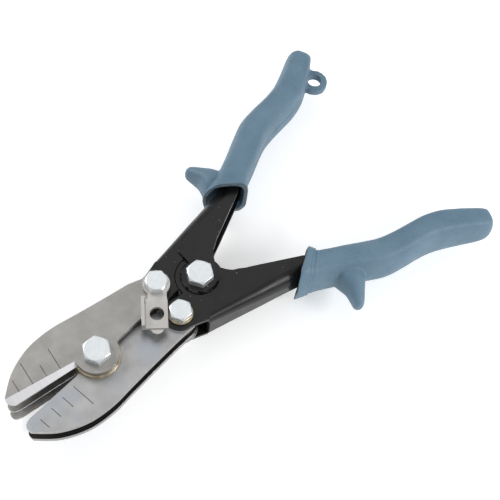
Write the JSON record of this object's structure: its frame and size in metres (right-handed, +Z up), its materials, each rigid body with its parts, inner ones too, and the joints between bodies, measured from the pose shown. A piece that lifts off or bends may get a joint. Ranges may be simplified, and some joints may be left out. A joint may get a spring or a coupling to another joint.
{
  "type": "sheet metal crimper",
  "caption": "Hand crimper for round sheet-metal duct: interleaved flat blades on a jaw bolt, compound-action channel handles, vinyl grips with finger guards, and a small locking plate.",
  "frame": {"origin": "centre of the jaw bolt's plain end, the lowest point of the tool lying flat", "axes": "+Z up along the jaw bolt; +Y along the tool from the jaw bolt to the handles; +X towards the two-blade jaw's handle. Stored with the jaws and handles fully open."},
  "size_m": [0.136, 0.227, 0.0311],
  "materials": {
    "upper_blade_steel": "warm satin grey, ground bevel",
    "lower_blade_steel": "cool satin grey with a faint heat tint",
    "zinc_plate": "bright pale zinc",
    "yellow_zinc": "yellow zinc",
    "spring_steel": "dark oiled",
    "black_oxide": "semi-gloss black",
    "grip_vinyl": "matte, fine grain",
    "latch_steel": "light satin"
  },
  "bodies": {
    "upper_jaw": {"upper_blade_top": "upper_blade_steel", "upper_blade_middle": "upper_blade_steel", "upper_blade_bottom": "upper_blade_steel", "jaw_bolt": "zinc_plate", "jaw_nut": "zinc_plate", "jaw_washer_1": "yellow_zinc", "jaw_washer_2": "yellow_zinc", "jaw_washer_3": "yellow_zinc", "jaw_washer_4": "yellow_zinc", "jaw_washer_5": "yellow_zinc", "jaw_washer_6": "yellow_zinc", "jaw_washer_7": "yellow_zinc", "jaw_washer_8": "yellow_zinc", "upper_link_bolt": "zinc_plate", "upper_link_nut": "zinc_plate", "upper_link_spacer_top": "yellow_zinc", "upper_link_spacer_bottom": "yellow_zinc"},
    "lower_jaw": {"lower_blade_top": "lower_blade_steel", "lower_blade_bottom": "lower_blade_steel", "lower_link_bolt": "zinc_plate", "lower_link_nut": "zinc_plate", "lower_link_washer_top": "yellow_zinc", "lower_link_washer_bottom": "yellow_zinc", "lower_link_shim_top": "lower_blade_steel", "lower_link_shim_bottom": "lower_blade_steel", "lower_link_spacer": "yellow_zinc"},
    "upper_handle": {"upper_handle_channel": "black_oxide", "upper_grip": "grip_vinyl", "handle_bolt": "zinc_plate", "handle_nut": "zinc_plate", "handle_sleeve": "yellow_zinc", "return_spring": "spring_steel"},
    "lower_handle": {"lower_handle_channel": "black_oxide", "lower_grip": "grip_vinyl"},
    "latch": {"latch_plate": "latch_steel"}
  },
  "joints": [
    {"name": "jaw_pivot", "type": "hinge", "parent": "upper_jaw", "child": "lower_jaw", "pos_m": [0, 0, 0.01545], "axis": [0, 0, -1], "range_deg": [0, 16.7], "stiffness_Nm_per_rad": 2, "springref_deg": -8.59},
    {"name": "upper_link", "type": "hinge", "parent": "upper_jaw", "child": "upper_handle", "pos_m": [-0.0081, 0.0391, 0.01545], "axis": [0, 0, -1], "range_deg": [0, 28], "deforming": ["return_spring"]},
    {"name": "lower_link", "type": "hinge", "parent": "lower_jaw", "child": "lower_handle", "pos_m": [0.0081, 0.0391, 0.01545], "axis": [0, 0, 1], "range_deg": [0, 28]},
    {"name": "latch_pivot", "type": "hinge", "parent": "upper_jaw", "child": "latch", "pos_m": [-0.0081, 0.0391, 0.0269], "axis": [0, 0, -1], "range_deg": [0, 75]}
  ],
  "couplings": [
    {"joint": "upper_link", "follows": "jaw_pivot", "ratio": 1.668},
    {"joint": "lower_link", "follows": "jaw_pivot", "ratio": 1.668}
  ]
}
